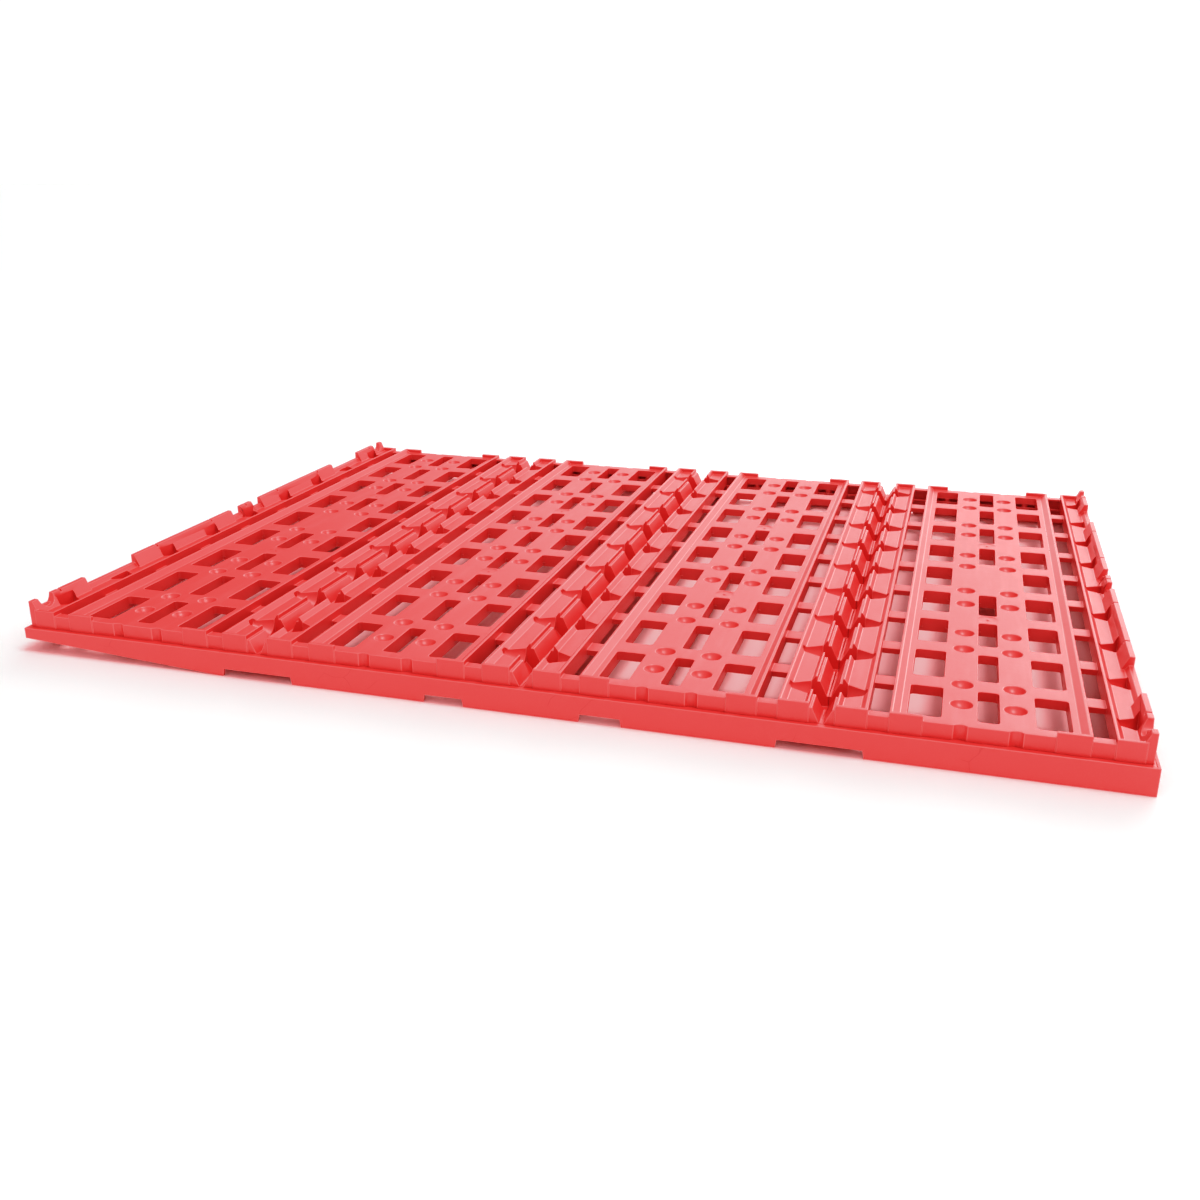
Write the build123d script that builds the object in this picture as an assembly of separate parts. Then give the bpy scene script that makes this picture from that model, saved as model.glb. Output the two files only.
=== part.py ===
"""Rigid plastic layer divider for stacks of egg trays: four slatted bays on a skirted lower frame.

Frame: millimetres, +Z up, origin at the middle of the footprint on the floor, X along the four bays,
Y from the front skirt to the back skirt.
"""
import math
import os

from build123d import *

# ---- overall layout -------------------------------------------------------------------------------
BAYS = 4                     # tray bays side by side
BAY_PITCH = 306.0            # one tray and its share of the V-grooves
ROWS = 9                     # rows of slots, front to back
ROW_PITCH = 100.0            # two egg pitches
END_INSET = 9.5              # the end walls stand this far inside the outermost groove centre lines
ROW_MARGIN = 0.3             # the front and back walls stand this far outside the rows

# ---- heights --------------------------------------------------------------------------------------
DECK_Z = 44.0                # top of the slatted deck above the floor
LEDGE_DROP = 15.6            # deck down to the ledge that the bays stand on
LIP_RISE = 5.4               # rails, crests and wall lips above the deck
FIN_RISE = 15.3              # end fins above the deck
SKIN = 3.0                   # moulded wall thickness
RIB = 2.5                    # ribs and cup walls
RIB_DROP = 10.5              # cross ribs near the front and back
RIB_DROP_DEEP = 16.0         # cross ribs near mid-span, and every rib that runs front to back
SEAM_GAP = 0.2               # each bay stops this far short of the groove's centre line

# ---- groove, crest, ridge and rail, measured across from a groove's centre line -------------------
GROOVE_FLAT = 2.2            # half of the narrow flat along the groove's bottom
GROOVE_LIFT = 0.3            # the groove's bottom stands this far above the ledge
GROOVE_HALF = 9.7            # half width of the groove at deck level
CREST_IN = 12.5              # crest's upright face
CREST_OUT = 14.5             # crest's top edge on the ridge side
CREST_FOOT = 18.2            # where the crest's slope meets the ridge
RIDGE_LIP_FOOT = 35.3        # where the ridge's lip starts to rise
RIDGE_LIP = 40.2             # lip top, inner edge
RIDGE_END = 42.8             # ridge's channel face
RAIL_START = 62.8            # rail's channel face
RAIL_TOP_END = 65.4          # rail top, inner edge
RAIL_FOOT = 72.0             # where the rail's slope meets the deck

# ---- slots, cups and pockets ----------------------------------------------------------------------
DECK_BAR = 27.0              # width of the bars between the rows of slots
SLOT_RADIUS = 4.0
SIDE_SLOT_IN = 43.0          # side slots' inner edge, from the bay's middle
SIDE_SLOT_OUT = 6.5          # their outer edge, from the rail's foot
MID_SLOT_WIDTH = 20.2
CHANNEL_BAR_HALF = 11.0      # half width of the bars across the channels
CHANNEL_BAR_DROP = 4.0       # their tops below the deck
CUP_X = 25.0                 # egg-end cups, from the bay's middle
CUP_RADIUS = 11.0
CUP_DEPTH = 6.5
GATE_RADIUS = 11.0           # round land of an injection gate, one and a half rows from the middle
GATE_DEPTH = 0.4
GATE_STUB = 1.6              # radius of the stub left at its centre
POCKET_HALF = 16.5           # half width of a pocket where it opens into the groove
POCKET_TIP_R = 5.0           # the cone's small end
POCKET_TIP_X = 38.5          # where that end is, from the groove's centre line
POCKET_DROP = 27.0           # floor of the pocket below the deck

# ---- outer walls ----------------------------------------------------------------------------------
BLOCK_END = 93.5             # tall block beside a rail ends here
BLOCK_PROUD = 1.2            # tall blocks stand this far out of the wall between them
FLUTE_RADIUS = 8.0           # upright flutes in the walls, in line with the cups
FLUTE_DEPTH = 3.2
FIN_TOP = 5.3                # top width of an end fin
FIN_FOOT = 12.8              # its width at the deck
CORNER_FIN = 10.0            # length of the fin at each corner
SHORT_FIN = (34.0, -8.0)     # short fin: start into the first row, end past the second row's start;
                             # a round scoop lies between it and the corner
LONG_FIN = (-13.0, 11.0)     # long fin: start from the third row's start, end from the fifth's
MIDDLE_FIN = 14.5            # half length of the fin at the middle
NICKS = ((0, 47.5), (2, 35.0), (4, -39.0))   # small nicks in the fins' tops: row, and how far into it
NICK_WIDTH = 2.4
NICK_DROP = 3.2

# ---- lower frame ----------------------------------------------------------------------------------
END_STEP = 5.5               # the lower frame stands this far out of the end walls
SIDE_STEP = 6.7              # and this far out of the front and back walls
FRAME_WALL = 3.0
LEDGE_WIDTH = 19.0           # front and back ledge, in from the skirt's face
END_LEDGE_WIDTH = 9.0        # left and right ledge
SEAT_GAP = 0.7               # between the ledge's inner edge and what hangs behind it
RECESS_HEIGHT = 8.5
WIDE_RECESS = 85.0           # one under each outer seam
NARROW_RECESS = 45.0
NARROW_RECESS_X = 85.5
RECESS_SLOPE = 1.5           # each side of a recess leans this much
RAMP_GAP = 5.5               # the lower edge rises from this far past the recess to the left end
RAMP_RISE = 16.0
GRIP_WIDTH = 44.0            # finger grips in the end skirts
GRIP_Y = 150.0
BEARER_HALF = 11.0
BEARER_BASE = 3.2
BEARER_WEB_HALF = 4.5        # half thickness of a bearer's upstands
BEARER_CLEAR = 16.0          # the upstands stop this far inside the front and back walls
SHELF = 3.0
SHELF_MARGIN = 4.0           # a shelf is this much wider than its bearer, each side
RIVET_R = 2.45
RIVET_SHANK = 12.8
RIVET_GAP = 0.05             # clearance round a rivet's shank
RIVET_HEAD_R = 4.5
RIVET_HEAD = 2.0             # thickness of the head
RIVET_TIP_GAP = 0.2          # the hole goes this far past the shank
BOSS_R = 5.0

HALF_BAY = BAY_PITCH / 2
HALF_SPAN = ROWS * ROW_PITCH / 2 + ROW_MARGIN
FRAME_LENGTH = BAYS * BAY_PITCH - 2 * END_INSET + 2 * END_STEP
FRAME_DEPTH = 2 * HALF_SPAN + 2 * SIDE_STEP
LEDGE_Z = DECK_Z - LEDGE_DROP
GROOVE_DROP = LEDGE_DROP - GROOVE_LIFT
SLOT_LENGTH = ROW_PITCH - DECK_BAR
SIDE_SLOT_WIDTH = HALF_BAY - RAIL_FOOT - SIDE_SLOT_OUT - SIDE_SLOT_IN
SIDE_SLOT_X = SIDE_SLOT_IN + SIDE_SLOT_WIDTH / 2
RIVET_HOLE_R = RIVET_R + RIVET_GAP
ROW_Y = [(i - (ROWS - 1) / 2) * ROW_PITCH for i in range(ROWS)]
BAR_Y = [(i - ROWS / 2 + 1) * ROW_PITCH for i in range(ROWS - 1)]
BEARER_TOP = DECK_Z - POCKET_DROP - RIB - 0.3
ENGAGE = 0.6                 # how far one feature of a moulding runs into the next


def box(x0, x1, y0, y1, z0, z1):
    """A box between two corners, whichever way round its x values are given."""
    return Pos((x0 + x1) / 2, (y0 + y1) / 2, (z0 + z1) / 2) * Box(abs(x1 - x0), abs(y1 - y0), abs(z1 - z0))


def across(points, y0, y1):
    """An outline in X and Z, drawn out from y0 to y1."""
    face = Plane.XZ * make_face(Polyline(*points, close=True))
    return Pos(0, y1, 0) * extrude(face, amount=y1 - y0)


def edge(side, w, z):
    """A point w in from the groove centre line on one side of a bay, z above the deck."""
    return (side * (HALF_BAY - w), DECK_Z + z)


def ridge_outline(side, is_end):
    """Half groove, crest, ridge and lip, with the skin under them."""
    if is_end:
        groove = [(END_INSET, -LEDGE_DROP), (END_INSET, LIP_RISE)]
        under = [(END_INSET + SKIN, -SKIN), (END_INSET + SKIN, -LEDGE_DROP)]
    else:
        groove = [(SEAM_GAP, -GROOVE_DROP), (GROOVE_FLAT, -GROOVE_DROP), (GROOVE_HALF, 0),
                  (CREST_IN, 0), (CREST_IN + 0.3, LIP_RISE)]
        under = [(GROOVE_HALF + 2.6, -SKIN), (GROOVE_FLAT + 3.2, -GROOVE_DROP - SKIN),
                 (SEAM_GAP, -GROOVE_DROP - SKIN)]
    crest = [(CREST_OUT, LIP_RISE), (CREST_FOOT, 0), (RIDGE_LIP_FOOT, 0), (RIDGE_LIP, LIP_RISE),
             (RIDGE_END, LIP_RISE), (RIDGE_END, -RIB_DROP_DEEP), (RIDGE_END - RIB, -RIB_DROP_DEEP),
             (RIDGE_END - RIB, -SKIN)]
    return [edge(side, w, z) for w, z in groove + crest + under]


def wall_outline(left_end, right_end):
    """The front or back wall seen from the front: low between the blocks, V-shaped at the grooves."""
    half = [(CREST_IN, LIP_RISE), (RIDGE_END, LIP_RISE), (RIDGE_END, 0), (RAIL_START, 0),
            (RAIL_START, LIP_RISE), (BLOCK_END, LIP_RISE), (BLOCK_END, 0)]
    groove = [(SEAM_GAP, -LEDGE_DROP), (SEAM_GAP, -GROOVE_DROP), (GROOVE_FLAT, -GROOVE_DROP),
              (GROOVE_HALF, 0), (CREST_IN, 0)]
    end = [(END_INSET, -LEDGE_DROP), (END_INSET, FIN_RISE), (END_INSET + FIN_TOP, FIN_RISE),
           (END_INSET + FIN_TOP + 1.5, LIP_RISE)]
    left = (end if left_end else groove) + (half[1:] if left_end else half)
    right = (end if right_end else groove) + (half[1:] if right_end else half)
    return [edge(-1, w, z) for w, z in left] + [edge(1, w, z) for w, z in reversed(right)]


def pocket(side, is_end, y):
    """Hollow of one pocket: a cone lying along X that opens into the groove, or stops at an end wall."""
    start = CREST_FOOT - 1 if is_end else CREST_FOOT
    cone = Cone(POCKET_HALF, POCKET_TIP_R, POCKET_TIP_X - start)
    cone = Pos(side * (HALF_BAY - (POCKET_TIP_X + start) / 2), y, DECK_Z) * Rot(0, -90 * side, 0) * cone
    if is_end:
        return [cone]
    slot = [(-1, -POCKET_DROP), (CREST_IN - 3, -POCKET_DROP), (CREST_FOOT, -POCKET_HALF),
            (CREST_FOOT, LIP_RISE + 5), (-1, LIP_RISE + 5)]
    return [cone, across([edge(side, w, z) for w, z in slot], y - POCKET_HALF, y + POCKET_HALF)]


def pocket_cup(side, is_end, y):
    """The cup moulded under a pocket, below the ridge and the groove's flank."""
    near = SEAM_GAP
    slope = (POCKET_HALF - POCKET_TIP_R) / (POCKET_TIP_X - CREST_FOOT)
    far, start = POCKET_TIP_X + RIB - ENGAGE, CREST_FOOT - 2
    cone = Cone(POCKET_HALF + 2 * slope + RIB, POCKET_TIP_R + RIB, far - start)
    cone = Pos(side * (HALF_BAY - (far + start) / 2), y, DECK_Z) * Rot(0, -90 * side, 0) * cone
    below = box(side * (HALF_BAY - far), side * (HALF_BAY - start), y - 40, y + 40, 0, DECK_Z - ENGAGE)
    if is_end:
        body = [(CREST_FOOT - 1 - RIB, -POCKET_HALF - RIB), (CREST_FOOT + 1, -POCKET_HALF - RIB),
                (CREST_FOOT + 1, -1), (CREST_FOOT - 1 - RIB, -1)]
    else:
        body = [(near, -POCKET_DROP - RIB), (CREST_IN - 2, -POCKET_DROP - RIB),
                (CREST_FOOT + RIB, -POCKET_HALF - 1), (CREST_FOOT + RIB, -1), (GROOVE_HALF + 0.9, -1),
                (GROOVE_FLAT + 1, -GROOVE_DROP - 1), (near, -GROOVE_DROP - 1)]
    half = POCKET_HALF + RIB
    return [cone & below, across([edge(side, w, z) for w, z in body], y - half, y + half)]


def fins(side):
    """Upstanding fins along one outer end, with their nicks cut."""
    section = [(END_INSET, 0), (END_INSET, FIN_RISE), (END_INSET + FIN_TOP, FIN_RISE),
               (END_INSET + FIN_FOOT, -ENGAGE), (END_INSET + ENGAGE, -ENGAGE)]
    outline = [edge(side, w, z) for w, z in section]
    spans, nicks = [(-MIDDLE_FIN, MIDDLE_FIN)], []
    scoop = HALF_SPAN - (CORNER_FIN + SHORT_FIN[0]) / 2
    for y in (-scoop, scoop):
        nicks.append(Pos(side * (HALF_BAY - END_INSET), y, DECK_Z + FIN_RISE)
                     * Rot(0, 90, 0) * Cylinder((SHORT_FIN[0] - CORNER_FIN) / 2, 60))
    for a, b in ((0, ROW_PITCH + SHORT_FIN[1]),
                 (2 * ROW_PITCH + LONG_FIN[0], 4 * ROW_PITCH + LONG_FIN[1])):
        spans += [(a - HALF_SPAN, b - HALF_SPAN), (HALF_SPAN - b, HALF_SPAN - a)]
    for n in [row * ROW_PITCH + reach - HALF_SPAN for row, reach in NICKS] + [0]:
        for y in {n, -n}:
            nicks.append(box(side * (HALF_BAY - END_INSET + 1), side * (HALF_BAY - END_INSET - 20),
                             y - NICK_WIDTH / 2, y + NICK_WIDTH / 2, DECK_Z + FIN_RISE - NICK_DROP,
                             DECK_Z + FIN_RISE + 1))
    return [across(outline, a, b) - nicks for a, b in spans]


def slot(width, x, y):
    """A rounded slot through the deck and its well."""
    hole = RectangleRounded(width, SLOT_LENGTH, min(SLOT_RADIUS, 0.45 * width))
    return Pos(x, y, DECK_Z - RIB_DROP - 1) * extrude(hole, amount=RIB_DROP + SKIN)


def well(width, x, y):
    """Rounded wall round a slot, a little thinner than the ribs that it stands in."""
    wall = RIB - 0.4
    outer = RectangleRounded(width + 2 * wall, SLOT_LENGTH + 2 * wall, min(SLOT_RADIUS, 0.45 * width) + wall)
    return Pos(x, y, DECK_Z - RIB_DROP) * extrude(outer, amount=RIB_DROP - ENGAGE)


def bay(index):
    """One slatted bay, centred on X = 0."""
    left_end, right_end = index == 0, index == BAYS - 1
    middle_rows = [y for y in ROW_Y if not ((left_end or right_end) and abs(y) < 1)]
    solid, holes = [], []
    deck = [edge(-1, w, z) for w, z in ((RAIL_START, -RIB_DROP_DEEP), (RAIL_START, LIP_RISE),
                                        (RAIL_TOP_END, LIP_RISE), (RAIL_FOOT, 0))]
    deck += [edge(1, w, z) for w, z in ((RAIL_FOOT, 0), (RAIL_TOP_END, LIP_RISE), (RAIL_START, LIP_RISE),
                                        (RAIL_START, -RIB_DROP_DEEP), (RAIL_START + RIB, -RIB_DROP_DEEP),
                                        (RAIL_START + RIB, -SKIN))]
    deck += [edge(-1, RAIL_START + RIB, -SKIN), edge(-1, RAIL_START + RIB, -RIB_DROP_DEEP)]
    solid.append(across(deck, -HALF_SPAN, HALF_SPAN))
    for x in (MID_SLOT_WIDTH / 2, SIDE_SLOT_X - SIDE_SLOT_WIDTH / 2 - RIB, SIDE_SLOT_X + SIDE_SLOT_WIDTH / 2):
        for side in (-1, 1):
            solid.append(box(side * x, side * (x + RIB), -HALF_SPAN + ENGAGE, HALF_SPAN - ENGAGE,
                             DECK_Z - RIB_DROP_DEEP, DECK_Z - ENGAGE))
    rail = HALF_BAY - RAIL_START - ENGAGE
    for y in BAR_Y:
        drop = RIB_DROP_DEEP if abs(y) < 2 * ROW_PITCH else RIB_DROP
        gap = (ROW_PITCH - SLOT_LENGTH) / 2
        for s in (-1, 1):
            solid.append(box(-rail, rail, y + s * (gap - RIB), y + s * gap, DECK_Z - drop, DECK_Z - ENGAGE))
    for side, is_end in ((-1, left_end), (1, right_end)):
        solid.append(across(ridge_outline(side, is_end), -HALF_SPAN, HALF_SPAN))
        inner, outer = side * (HALF_BAY - RAIL_START - ENGAGE), side * (HALF_BAY - RIDGE_END + ENGAGE)
        for y in BAR_Y:
            solid.append(box(inner, outer, y - CHANNEL_BAR_HALF, y + CHANNEL_BAR_HALF,
                             DECK_Z - CHANNEL_BAR_DROP - SKIN, DECK_Z - CHANNEL_BAR_DROP))
            for s in (-1, 1):
                solid.append(box(inner, outer, y + s * (CHANNEL_BAR_HALF - RIB), y + s * CHANNEL_BAR_HALF,
                                 DECK_Z - RIB_DROP, DECK_Z - CHANNEL_BAR_DROP))
        for s in (-1, 1):
            solid.append(box(inner, outer, s * HALF_SPAN, s * (HALF_SPAN - CHANNEL_BAR_HALF),
                             DECK_Z - SKIN, DECK_Z))
        for y in ROW_Y:
            solid += pocket_cup(side, is_end, y)
            holes += pocket(side, is_end, y)
            solid.append(well(SIDE_SLOT_WIDTH, side * SIDE_SLOT_X, y))
            holes.append(slot(SIDE_SLOT_WIDTH, side * SIDE_SLOT_X, y))
        if is_end:
            solid += fins(side)
    ball = (CUP_RADIUS ** 2 + CUP_DEPTH ** 2) / (2 * CUP_DEPTH)
    bowl = Pos(0, 0, ball - CUP_DEPTH) * Sphere(ball + RIB) & box(-30, 30, -30, 30, -30, -ENGAGE)
    cups = [(s * CUP_X, y) for s in (-1, 1) for y in ROW_Y + BAR_Y
            if abs(y) % (1.5 * ROW_PITCH) > 1]
    for x, y in cups:
        solid.append(Pos(x, y, DECK_Z) * bowl)
        holes.append(Pos(x, y, DECK_Z + ball - CUP_DEPTH) * Sphere(ball))
    for y in middle_rows:
        solid.append(well(MID_SLOT_WIDTH, 0, y))
        holes.append(slot(MID_SLOT_WIDTH, 0, y))
    for y in (-1.5 * ROW_PITCH, 1.5 * ROW_PITCH):
        holes.append(Pos(0, y, DECK_Z) * (Cylinder(GATE_RADIUS, 2 * GATE_DEPTH) - Cylinder(GATE_STUB, 4)))
        solid.append(Pos(0, y, DECK_Z) * Cylinder(GATE_STUB, GATE_DEPTH))
    wall = wall_outline(left_end, right_end)
    hole_depth = RIVET_SHANK - FRAME_WALL + RIVET_TIP_GAP
    for s in (-1, 1):
        solid.append(across(wall, *sorted((s * HALF_SPAN, s * (HALF_SPAN - SKIN)))))
        for side, is_end in ((-1, left_end), (1, right_end)):
            first = END_INSET + FIN_TOP + 2 if is_end else CREST_IN
            for a, b in ((first, RIDGE_END), (RAIL_START, BLOCK_END)):
                solid.append(box(side * (HALF_BAY - a), side * (HALF_BAY - b), s * (HALF_SPAN + BLOCK_PROUD),
                                 s * (HALF_SPAN - ENGAGE), LEDGE_Z, DECK_Z + LIP_RISE))
            flute = Pos(side * CUP_X, s * (HALF_SPAN + FLUTE_RADIUS - FLUTE_DEPTH), 0)
            behind = box(-HALF_BAY, HALF_BAY, s * (HALF_SPAN - ENGAGE), s * (HALF_SPAN - 2 * FLUTE_RADIUS),
                         0, DECK_Z)
            solid.append(flute * Pos(0, 0, (LEDGE_Z + DECK_Z - ENGAGE) / 2)
                         * Cylinder(FLUTE_RADIUS + SKIN, DECK_Z - ENGAGE - LEDGE_Z) & behind)
            holes.append(flute * Pos(0, 0, DECK_Z) * Cylinder(FLUTE_RADIUS, 40))
            boss_y = s * (HALF_SPAN - SKIN - BOSS_R + ENGAGE)
            solid.append(Pos(side * SIDE_SLOT_X, boss_y, (LEDGE_Z + DECK_Z - SKIN / 2) / 2)
                         * Cylinder(BOSS_R, DECK_Z - SKIN / 2 - LEDGE_Z))
            holes.append(Pos(side * SIDE_SLOT_X, boss_y, LEDGE_Z) * Cylinder(RIVET_HOLE_R, 2 * hole_depth))
    for s in (-1, 1):
        seat = HALF_SPAN + SIDE_STEP - SEAT_GAP - LEDGE_WIDTH
        holes.append(box(-HALF_BAY, HALF_BAY, s * seat, s * (seat + 40), LEDGE_Z - 20, LEDGE_Z))
    whole = solid[0] + solid[1:]
    return whole - holes


def skirt_long(side):
    """Front (side -1) or back (side 1) member: web, ledge, bottom recesses and bearer shelves."""
    half, face = FRAME_LENGTH / 2, side * FRAME_DEPTH / 2
    outer = (BAYS / 2 - 1) * BAY_PITCH
    lower = [(-half, RAMP_RISE), (-outer - WIDE_RECESS / 2 - RAMP_GAP, 0)]
    for centre, width in ((-outer, WIDE_RECESS), (-NARROW_RECESS_X, NARROW_RECESS),
                          (NARROW_RECESS_X, NARROW_RECESS), (outer, WIDE_RECESS)):
        a, b = centre - width / 2, centre + width / 2
        lower += [(a, 0), (a + RECESS_SLOPE, RECESS_HEIGHT), (b - RECESS_SLOPE, RECESS_HEIGHT), (b, 0)]
    outline = lower + [(half, 0), (half, LEDGE_Z), (-half, LEDGE_Z)]
    web = across(outline, *sorted((face, face - side * FRAME_WALL)))
    inner = half - FRAME_WALL
    ledge = box(-inner, inner, face - side, face - side * LEDGE_WIDTH, LEDGE_Z - FRAME_WALL, LEDGE_Z)
    reach = BEARER_HALF + SHELF_MARGIN
    shelves = [box(x - reach, x + reach, face - side * (FRAME_WALL - ENGAGE), face - side * LEDGE_WIDTH,
                   BEARER_TOP - BEARER_BASE - SHELF, BEARER_TOP - BEARER_BASE) for x in seam_x()]
    holes = [Pos(x, side * rivet_y(), LEDGE_Z) * Cylinder(RIVET_HOLE_R, 20) for x in rivet_x()]
    return web + [ledge] + shelves - holes


def skirt_short(side):
    """Left (side -1) or right (side 1) member, between the long ones, with two finger grips."""
    face, half = side * FRAME_LENGTH / 2, FRAME_DEPTH / 2 - FRAME_WALL
    low = RAMP_RISE if side < 0 else 0.0
    web = box(face, face - side * FRAME_WALL, -half, half, low, LEDGE_Z)
    inner = FRAME_DEPTH / 2 - LEDGE_WIDTH
    reach = face - side * END_LEDGE_WIDTH
    ledge = box(face - side * ENGAGE, reach, -inner, inner, LEDGE_Z - FRAME_WALL, LEDGE_Z)
    top = LEDGE_Z - FRAME_WALL - 0.6
    ribs = [box(face - side * ENGAGE, reach, y - RIB / 2, y + RIB / 2, low + 2, LEDGE_Z - ENGAGE)
            for y in (-3 * ROW_PITCH, 0, 3 * ROW_PITCH)]
    grips = [box(face + side, face - side * (FRAME_WALL + 1), y - GRIP_WIDTH / 2, y + GRIP_WIDTH / 2,
                 low - 1 if side < 0 else top - 11, top) for y in (-GRIP_Y, GRIP_Y)]
    return web + [ledge] + ribs - grips


def seam_x():
    return [(i + 1 - BAYS / 2) * BAY_PITCH for i in range(BAYS - 1)]


def bay_x():
    return [(i - (BAYS - 1) / 2) * BAY_PITCH for i in range(BAYS)]


def rivet_x():
    return [x + s * SIDE_SLOT_X for x in bay_x() for s in (-1, 1)]


def rivet_y():
    return HALF_SPAN - SKIN - BOSS_R + ENGAGE


def bearer(x):
    """Castellated beam under a groove seam: a base strip with upstands between the pocket cups."""
    half = FRAME_DEPTH / 2 - FRAME_WALL - 0.2
    base = box(x - BEARER_HALF, x + BEARER_HALF, -half, half, BEARER_TOP - BEARER_BASE, BEARER_TOP)
    top = DECK_Z - GROOVE_DROP - SKIN
    ups = []
    for y in BAR_Y + [-ROWS / 2 * ROW_PITCH, ROWS / 2 * ROW_PITCH]:
        reach = ROW_PITCH / 2 - POCKET_HALF - RIB - 1
        clear = HALF_SPAN - SKIN - BEARER_CLEAR
        y0, y1 = max(y - reach, -clear), min(y + reach, clear)
        if y1 > y0:
            ups.append(box(x - BEARER_WEB_HALF, x + BEARER_WEB_HALF, y0, y1, BEARER_TOP - ENGAGE, top))
            ups.append(box(x - BEARER_HALF, x + BEARER_HALF, (y0 + y1) / 2 - RIB / 2, (y0 + y1) / 2 + RIB / 2,
                           BEARER_TOP - ENGAGE, BEARER_TOP + 4))
    return base + ups


def rivets():
    """All the push rivets: round head under the ledge, plain shank up into the boss."""
    group = []
    for x in rivet_x():
        for s in (-1, 1):
            shank = Pos(0, 0, LEDGE_Z - FRAME_WALL + RIVET_SHANK / 2) * Cylinder(RIVET_R, RIVET_SHANK)
            head = Pos(0, 0, LEDGE_Z - FRAME_WALL - RIVET_HEAD / 2) * Cylinder(RIVET_HEAD_R, RIVET_HEAD)
            group.append(Pos(x, s * rivet_y(), 0) * (shank + head))
    return Compound(children=group)


os.makedirs("parts", exist_ok=True)
for i, x in enumerate(bay_x()):
    export_step(Pos(x, 0, 0) * bay(i), f"parts/deck_panel_{i + 1}.step")
for name, shape in (("skirt_front", skirt_long(-1)), ("skirt_back", skirt_long(1)),
                    ("skirt_left", skirt_short(-1)), ("skirt_right", skirt_short(1)),
                    ("panel_rivets", rivets())):
    export_step(shape, f"parts/{name}.step")
for i, x in enumerate(seam_x()):
    export_step(bearer(x), f"parts/seam_bearer_{i + 1}.step")
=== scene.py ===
import math

import bmesh
import bpy
import numpy as np
from mathutils import Matrix, Vector


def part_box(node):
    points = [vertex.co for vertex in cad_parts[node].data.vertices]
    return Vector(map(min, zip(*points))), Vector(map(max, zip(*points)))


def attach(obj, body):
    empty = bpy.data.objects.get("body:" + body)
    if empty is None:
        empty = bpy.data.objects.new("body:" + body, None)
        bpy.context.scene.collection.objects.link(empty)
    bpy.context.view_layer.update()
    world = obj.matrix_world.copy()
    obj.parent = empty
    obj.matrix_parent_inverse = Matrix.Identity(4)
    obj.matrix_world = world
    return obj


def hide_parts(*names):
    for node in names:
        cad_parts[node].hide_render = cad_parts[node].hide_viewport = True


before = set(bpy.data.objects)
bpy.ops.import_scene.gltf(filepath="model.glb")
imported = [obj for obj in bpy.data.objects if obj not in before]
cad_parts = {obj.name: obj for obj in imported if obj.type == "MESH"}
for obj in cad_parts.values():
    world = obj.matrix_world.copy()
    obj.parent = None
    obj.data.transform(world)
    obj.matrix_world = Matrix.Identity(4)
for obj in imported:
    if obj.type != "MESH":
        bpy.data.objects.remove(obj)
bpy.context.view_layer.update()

scene = bpy.context.scene

# ---- standpoint -----------------------------------------------------------------------------------
# The eye stands in front of the right half of the divider, a little over half a metre above the
# floor, and looks back along the bays towards the left.
EYE = Vector((0.40306, -1.53023, 0.53356))
EYE_RIGHT = Vector((0.95884, 0.28395, 0.00223))
EYE_UP = Vector((-0.09740, 0.32151, 0.94188))
EYE_LENS = 36.55

camera_data = bpy.data.cameras.new("eye")
camera_data.sensor_width = 36.0
camera_data.lens = EYE_LENS
camera_data.clip_start, camera_data.clip_end = 0.01, 100.0
camera = bpy.data.objects.new("eye", camera_data)
scene.collection.objects.link(camera)
turn = Matrix((EYE_RIGHT, EYE_UP, EYE_RIGHT.cross(EYE_UP))).transposed()
camera.matrix_world = Matrix.Translation(EYE) @ turn.to_4x4()
scene.camera = camera


# ---- room -----------------------------------------------------------------------------------------
# A white studio: a flat, plain matt floor that runs far out on every side, a soft white room that is
# brighter at the back than at the left, a wide sun overhead and a soft box at the back right.
MIX_FACTOR, MIX_FIRST, MIX_SECOND, MIX_RESULT = 0, 6, 7, 2    # a Mix node's sockets for colours


class Wire:
    """One output of a shader node, with arithmetic that adds Math nodes to the same tree."""

    def __init__(self, finish, socket):
        self.finish, self.socket = finish, socket

    def _maths(self, operation, *terms, clamp=False):
        values = {i: t for i, t in enumerate(terms)}
        return self.finish.node("ShaderNodeMath", {"operation": operation, "use_clamp": clamp}, values)

    def __add__(self, other):
        return self._maths("ADD", self, other)

    def __sub__(self, other):
        return self._maths("SUBTRACT", self, other)

    def __rsub__(self, other):
        return self._maths("SUBTRACT", other, self)

    def __mul__(self, other):
        return self._maths("MULTIPLY", self, other)

    __radd__, __rmul__ = __add__, __mul__

    def clipped(self):
        return self._maths("ADD", self, 0.0, clamp=True)

    def ramp(self, low, high):
        """0 below low and 1 above high, with a smooth rise between."""
        return self.finish.node("ShaderNodeMapRange", {"interpolation_type": "SMOOTHSTEP"},
                                {"Value": self, "From Min": low, "From Max": high})


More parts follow.
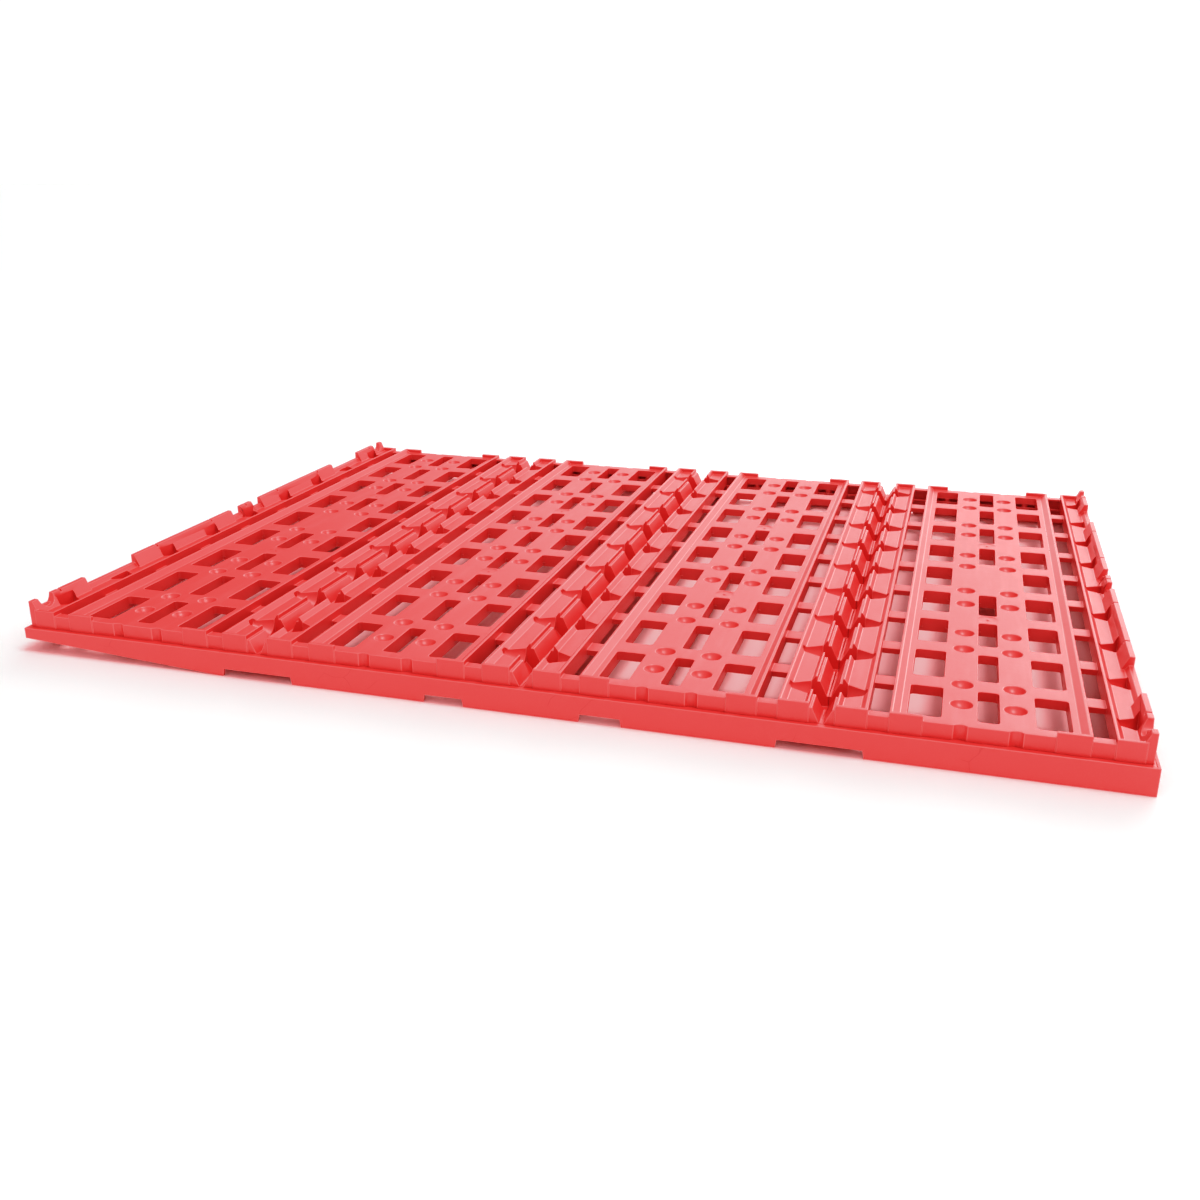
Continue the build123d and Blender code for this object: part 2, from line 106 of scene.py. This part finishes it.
class Finish:
    """One material, or the world, and the nodes that are added to it."""

    def __init__(self, holder):
        self.holder = holder
        holder.use_nodes = True
        self.tree = holder.node_tree
        self.tree.nodes.clear()

    def node(self, kind, settings=None, values=None, output=0):
        """A node of this type: its settings first, then the value or link of each socket."""
        made = self.tree.nodes.new(kind)
        for key, value in (settings or {}).items():
            setattr(made, key, value)
        for key, value in (values or {}).items():
            if isinstance(value, Wire):
                self.tree.links.new(value.socket, made.inputs[key])
            else:
                made.inputs[key].default_value = value
        return Wire(self, made.outputs[output])

    def noise(self, place, size, detail=2.0, rough=0.5, stretch=None, output=0):
        """Soft noise from 0 to 1 whose blobs are about size across, in metres; output 1 is a vector."""
        if stretch:
            place = self.node("ShaderNodeMapping", {}, {"Vector": place, "Scale": stretch})
        return self.node("ShaderNodeTexNoise", {}, {"Vector": place, "Scale": 1.0 / size,
                                                    "Detail": detail, "Roughness": rough}, output)

    def blend(self, share, first, second):
        """The first colour going over to the second as share goes from 0 to 1."""
        mix = self.tree.nodes.new("ShaderNodeMix")
        mix.data_type = "RGBA"
        for index, value in ((MIX_FACTOR, share), (MIX_FIRST, first), (MIX_SECOND, second)):
            if isinstance(value, Wire):
                self.tree.links.new(value.socket, mix.inputs[index])
            elif index != MIX_FACTOR:
                mix.inputs[index].default_value = (*value, 1.0)
            else:
                mix.inputs[index].default_value = value
        return Wire(self, mix.outputs[MIX_RESULT])

    def node_out(self, kind, shader):
        """The output node, fed by this shader."""
        out = self.tree.nodes.new(kind)
        self.tree.links.new(shader.socket, out.inputs["Surface"])

    def close(self, **sockets):
        """The finished surface: a Principled shader with these sockets, into the output."""
        names = {key.replace("_", " "): value for key, value in sockets.items()}
        self.node_out("ShaderNodeOutputMaterial", self.node("ShaderNodeBsdfPrincipled", {}, names))
        return self.holder


FLOOR_RADIUS, FLOOR_RINGS, FLOOR_STEPS = 40.0, 24, 96
PAPER, PAPER_PALE = (0.94, 0.94, 0.94), (0.96, 0.96, 0.955)


def studio_floor():
    """Disc: radius and angle on a grid, with the rings spaced by the square of their number, so that
    they are close together under the object, and one point at the middle."""
    radius = FLOOR_RADIUS * np.linspace(0.0, 1.0, FLOOR_RINGS + 1)[1:] ** 2
    angle = np.linspace(0.0, 2 * math.pi, FLOOR_STEPS + 1)[:-1]
    r, a = np.meshgrid(radius, angle, indexing="ij")
    ring_points = np.stack([r * np.cos(a), r * np.sin(a), 0 * r], -1).reshape(-1, 3)
    rings, steps = r.shape
    i, j = np.meshgrid(np.arange(rings - 1), np.arange(steps), indexing="ij")
    k = (j + 1) % steps
    quads = np.stack([1 + i * steps + j, 1 + (i + 1) * steps + j, 1 + (i + 1) * steps + k,
                      1 + i * steps + k], -1).reshape(-1, 4)
    first = np.arange(steps)
    hub = np.stack([np.zeros(steps, int), 1 + first, 1 + (first + 1) % steps], -1)
    mesh = bpy.data.meshes.new("studio_floor")
    mesh.from_pydata([(0.0, 0.0, 0.0)] + ring_points.tolist(), [], hub.tolist() + quads.tolist())
    return bpy.data.objects.new("studio_floor", mesh)


paper = Finish(bpy.data.materials.new("studio_paper"))
paper_place = paper.node("ShaderNodeTexCoord", output=3)
floor = studio_floor()
floor.data.materials.append(paper.close(
    Base_Color=paper.blend(paper.noise(paper_place, 0.9) * 0.5, PAPER, PAPER_PALE),
    Roughness=0.9))
scene.collection.objects.link(floor)

AMBIENT = 0.60
FAR_WALL = ((-0.02, 0.98, 0.16), 0.84, 0.99, 1.9)        # the bright side of the room
LEFT_WALL = ((-0.80, 0.55, 0.20), 0.55, 0.97, -0.35)     # the dark side
NEAR_WALL = ((0.15, -0.94, 0.30), 0.30, 0.95, 0.30)      # a little light on the front
SEEN = 1.1                                               # what the eye sees past the floor
room = Finish(bpy.data.worlds.new("studio_white"))
way = room.node("ShaderNodeTexCoord", output=0)
level = AMBIENT
for lobe, low, high, gain in (FAR_WALL, LEFT_WALL, NEAR_WALL):
    dot = room.node("ShaderNodeVectorMath", {"operation": "DOT_PRODUCT"}, {0: way, 1: lobe}, output=1)
    level = level + gain * dot.ramp(low, high)
direct = room.node("ShaderNodeLightPath", output=0)
level = level * (1.0 - direct) + SEEN * direct
glow = room.node("ShaderNodeBackground", {}, {"Color": (1.0, 1.0, 1.0, 1.0), "Strength": level})
room.node_out("ShaderNodeOutputWorld", glow)
scene.world = room.holder


def lamp(name, kind, power, spread, place, target):
    """A lamp at place that shines towards target; spread is its angle or its width."""
    light = bpy.data.lights.new(name, kind)
    light.energy = power
    if kind == "SUN":
        light.angle = spread
    else:
        light.size = spread
    holder = bpy.data.objects.new(name, light)
    way_back = (Vector(place) - Vector(target)).to_track_quat("Z", "Y").to_matrix().to_4x4()
    holder.matrix_world = Matrix.Translation(place) @ way_back
    holder.visible_camera = False
    scene.collection.objects.link(holder)


lamp("top_lamp", "SUN", 1.35, math.radians(22), (0.30, 0.02, 0.95), (0.0, 0.0, 0.0))
lamp("right_box", "AREA", 7.0, 1.1, (1.10, 1.45, 1.00), (0.1, 0.0, 0.0))

# Tone curves of the whole picture: shades of the coral go over to red, and white stays white.
view = scene.view_settings
view.view_transform, view.look = "Standard", "None"
view.use_curve_mapping = True
tone = view.curve_mapping
tone.use_clip = True
RED_TONES = ((0.08, 0.14), (0.2, 0.35), (0.35, 0.59), (0.5, 0.765), (0.66, 0.832), (0.85, 0.885),
             (0.96, 0.935))
GREEN_TONES = ((0.05, 0.016), (0.09, 0.036), (0.14, 0.078), (0.25, 0.155), (0.5, 0.35), (0.8, 0.66))
BLUE_TONES = ((0.05, 0.015), (0.09, 0.035), (0.14, 0.078), (0.25, 0.160), (0.5, 0.36), (0.8, 0.67))
for channel, marks in enumerate((RED_TONES, GREEN_TONES, BLUE_TONES)):
    for x, y in marks:
        tone.curves[channel].points.new(x, y)
tone.update()


# ---- coral plastic --------------------------------------------------------------------------------
# Every piece is injection-moulded polyolefin, coloured through in coral red: satin, with a fine
# spark grain and slow flow marks. Upward faces are made paler, a painted sheen, and the rounded
# edges take a paler material, a painted highlight.
PLASTIC_IOR = 1.75
SCRATCH_RED = (0.36, 0.035, 0.034)


def coral_plastic(name, body, sheen_and_mottle_colour, rough, scratches=0.0):
    """Satin moulded plastic. Slow and fine noise mix in the paler colour at random, upward faces get
    more of it, in streaks, as a painted sheen, and two noises make the grain and the slight waviness
    of the bump. Scratches, from 0 to 1, are the borders of large warped cells, kept only in patches."""
    m = Finish(bpy.data.materials.new(name))
    place = m.node("ShaderNodeTexCoord", output=3)
    normal = m.node("ShaderNodeNewGeometry", output=1)
    up = m.node("ShaderNodeSeparateXYZ", {}, {"Vector": normal}, output=2)
    flow = m.noise(place, 0.11, 3.0)
    mottle = m.noise(place, 0.006, 3.0, 0.6)
    streak = m.noise(place, 0.012, 2.0, 0.5, stretch=(1.0, 0.12, 1.0))
    speckle = m.noise(place, 0.0016, 2.0, 0.7)
    # Painted sheen: upward faces take the paler colour, more in streaks; the noises add random paler
    # mottle.
    sheen_and_mottle = (up.ramp(0.6, 0.98) * (0.10 + 0.35 * streak.ramp(0.45, 0.75))
            + 0.22 * (flow - 0.5) + 0.18 * (mottle - 0.5) + 0.40 * (speckle - 0.5)).clipped()
    colour = m.blend(sheen_and_mottle, body, sheen_and_mottle_colour)
    grain = m.noise(place, 0.0009, 2.0, 0.6)
    wave = m.noise(place, 0.028, 2.0)
    height = grain * 0.00004 + wave * 0.00030
    if scratches:
        bend = m.node("ShaderNodeVectorMath", {"operation": "ADD"},
                      {0: place, 1: m.node("ShaderNodeVectorMath", {"operation": "SCALE"}, {
                          0: m.noise(place, 0.05, output=1), "Scale": 0.035})})
        border = m.node("ShaderNodeTexVoronoi", {"feature": "DISTANCE_TO_EDGE"},
                        {"Vector": bend, "Scale": 22.0})
        patch = m.noise(place, 0.06, 1.0).ramp(0.54, 0.60)
        line = (1.0 - border.ramp(0.004, 0.012)) * patch * scratches
        colour = m.blend(line * 0.55, colour, SCRATCH_RED)
        height = height - line * 0.00012
    bump = m.node("ShaderNodeBump", {}, {"Height": height, "Strength": 0.6, "Distance": 1.0})
    uneven = (rough + 0.10 * (mottle - 0.5) + 0.08 * (flow - 0.5)).clipped()
    return m.close(Base_Color=colour, Roughness=uneven, Normal=bump, IOR=PLASTIC_IOR)


# ---- lower frame ----------------------------------------------------------------------------------
# Four straight skirt members of the same moulded plastic, with recesses along their lower edges. A
# ledge inside their top edge carries the four bays, which push rivets hold to it from below.
BODY_RED = (0.56, 0.080, 0.078)
# The paler red: random mottle, and a painted sheen on upward faces.
SHEEN_AND_MOTTLE_RED = (0.62, 0.155, 0.152)
# The colours of the rounded edges are a painted highlight.
EDGE_HIGHLIGHT_RED = (0.64, 0.17, 0.165)
EDGE_HIGHLIGHT_PALER = (0.70, 0.33, 0.32)
SOFT_EDGE = 0.0007
MERGE = 2e-6                 # doubles closer than this become one point
SHARP = math.radians(33)
LEDGE_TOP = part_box("skirt_front")[1].z
BAY_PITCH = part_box("deck_panel_3")[0].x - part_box("deck_panel_2")[0].x
SEAM_FACE = 0.0004           # the bays' cut faces lie this close to the middle of a seam
FILM_HALF, FILM_DEEP, FILM_START = 0.0028, 0.0006, 0.43    # a groove's bottom, over the ledge
CREST_FOOT = (0.0118, 0.0146)    # a rail crest's upright faces stand this far from the seam
WALL_FACE, WALL_NEAR = 0.4473, 0.0008    # the inner faces of the end walls, and how near counts
GATE_Y, GATE_REACH = 0.150, 0.0115       # the lands of the gates: where along Y, and their radius


def round_edges(mesh):
    """Marks the edges to be rounded: 1 where the two faces at an edge turn by more than SHARP, and 0
    elsewhere, at the cut faces of the seams, in the thin film of each groove's bottom that lies over
    the ledge, where a rail's crest runs into an end wall, and round the lands of the gates."""
    loops = np.empty(len(mesh.loops), np.int32)
    mesh.loops.foreach_get("edge_index", loops)
    normals = np.empty(len(mesh.polygons) * 3, np.float32)
    mesh.polygons.foreach_get("normal", normals)
    order = np.argsort(loops, kind="stable")
    facing = normals.reshape(-1, 3)[order // 3].reshape(-1, 2, 3)
    turn = (facing[:, 0] * facing[:, 1]).sum(-1)
    ends = np.empty(len(mesh.edges) * 2, np.int32)
    mesh.edges.foreach_get("vertices", ends)
    points = np.empty(len(mesh.vertices) * 3, np.float32)
    mesh.vertices.foreach_get("co", points)
    pair = points.reshape(-1, 3)[ends.reshape(-1, 2)]
    middle = pair.mean(1)
    depth, height = np.abs(middle[:, 1]), middle[:, 2]
    from_seam = np.abs((np.abs(pair[:, :, 0]) + BAY_PITCH / 2) % BAY_PITCH - BAY_PITCH / 2)
    near, far = from_seam.min(1), from_seam.max(1)
    film = (far < FILM_HALF) & (np.abs(height - LEDGE_TOP) < FILM_DEEP) & (depth > FILM_START)
    cut = far < SEAM_FACE
    crest = (near > CREST_FOOT[0]) & (far < CREST_FOOT[1]) & (np.abs(depth - WALL_FACE) < WALL_NEAR)
    from_centre = np.abs(np.abs(np.abs(middle[:, 0]) - BAY_PITCH) - BAY_PITCH / 2)
    gate = np.hypot(from_centre, depth - GATE_Y) < GATE_REACH
    weight = ((turn < math.cos(SHARP)) & ~(film | cut | crest | gate)).astype(np.float32)
    mesh.attributes.new("bevel_weight_edge", "FLOAT", "EDGE").data.foreach_set("value", weight)


def softened(node, name, width, materials):
    """The moulding as made in the frame, with its doubles merged and its sharp edges rounded to
    width. Flat faces keep flat normals, because normals are weighed by area."""
    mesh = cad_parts[node].data.copy()
    mesh.name = name
    work = bmesh.new()
    work.from_mesh(mesh)
    bmesh.ops.remove_doubles(work, verts=work.verts, dist=MERGE)
    for face in work.faces:
        face.smooth = True
    work.to_mesh(mesh)
    work.free()
    mesh.materials.clear()
    for material in materials:
        mesh.materials.append(material)
    piece = bpy.data.objects.new(name, mesh)
    scene.collection.objects.link(piece)
    round_edges(mesh)
    bevel = piece.modifiers.new("soft_edge", "BEVEL")
    bevel.width, bevel.segments = width, 2
    bevel.limit_method = "WEIGHT"
    bevel.use_clamp_overlap, bevel.loop_slide = False, False
    bevel.miter_outer = "MITER_SHARP"
    # The rounded faces take the second, paler material: a painted highlight along the edges.
    bevel.material = 1 if len(materials) > 1 else -1
    weigh = piece.modifiers.new("even_normals", "WEIGHTED_NORMAL")
    weigh.weight, weigh.keep_sharp = 100, False
    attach(piece, "root")
    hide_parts(node)
    return piece


skirt_plastic = coral_plastic("skirt_plastic", BODY_RED, SHEEN_AND_MOTTLE_RED, 0.40, scratches=0.8)
# The paler plastic of the rounded edges is a painted highlight.
edge_highlight_plastic = coral_plastic("edge_highlight_plastic", EDGE_HIGHLIGHT_RED, EDGE_HIGHLIGHT_PALER, 0.30)
for side in ("front", "back", "left", "right"):
    softened("skirt_" + side, "skirt_member_" + side, SOFT_EDGE, [skirt_plastic, edge_highlight_plastic])

# ---- seam bearers ---------------------------------------------------------------------------------
# Three beams of the same moulded plastic under the seams between the bays, hidden from above. Their
# tops are notched to clear the pocket cups, and the edges of two bays rest on each of them.
for number in (1, 2, 3):
    softened(f"seam_bearer_{number}", f"bearer_{number}", SOFT_EDGE, [skirt_plastic, edge_highlight_plastic])

# ---- bays -----------------------------------------------------------------------------------------
# Four slatted bays, each one injection moulding with its rails, ridges, pockets and cups, in the same
# plastic, a little smoother. Each stands on the ledge of the skirt and on the seam bearers.
deck_plastic = coral_plastic("deck_plastic", BODY_RED, SHEEN_AND_MOTTLE_RED, 0.38)
for number in (1, 2, 3, 4):
    softened(f"deck_panel_{number}", f"bay_{number}", SOFT_EDGE, [deck_plastic, edge_highlight_plastic])

# ---- push rivets ----------------------------------------------------------------------------------
# Sixteen separate moulded push rivets of the same plastic. They are pushed up from below through the
# ledge into bosses inside the bays' walls, and hold the bays down on the skirt.
RIVET_EDGE = 0.0003
rivet_plastic = coral_plastic("rivet_plastic", BODY_RED, SHEEN_AND_MOTTLE_RED, 0.36)
softened("panel_rivets", "push_rivets", RIVET_EDGE, [rivet_plastic, edge_highlight_plastic])
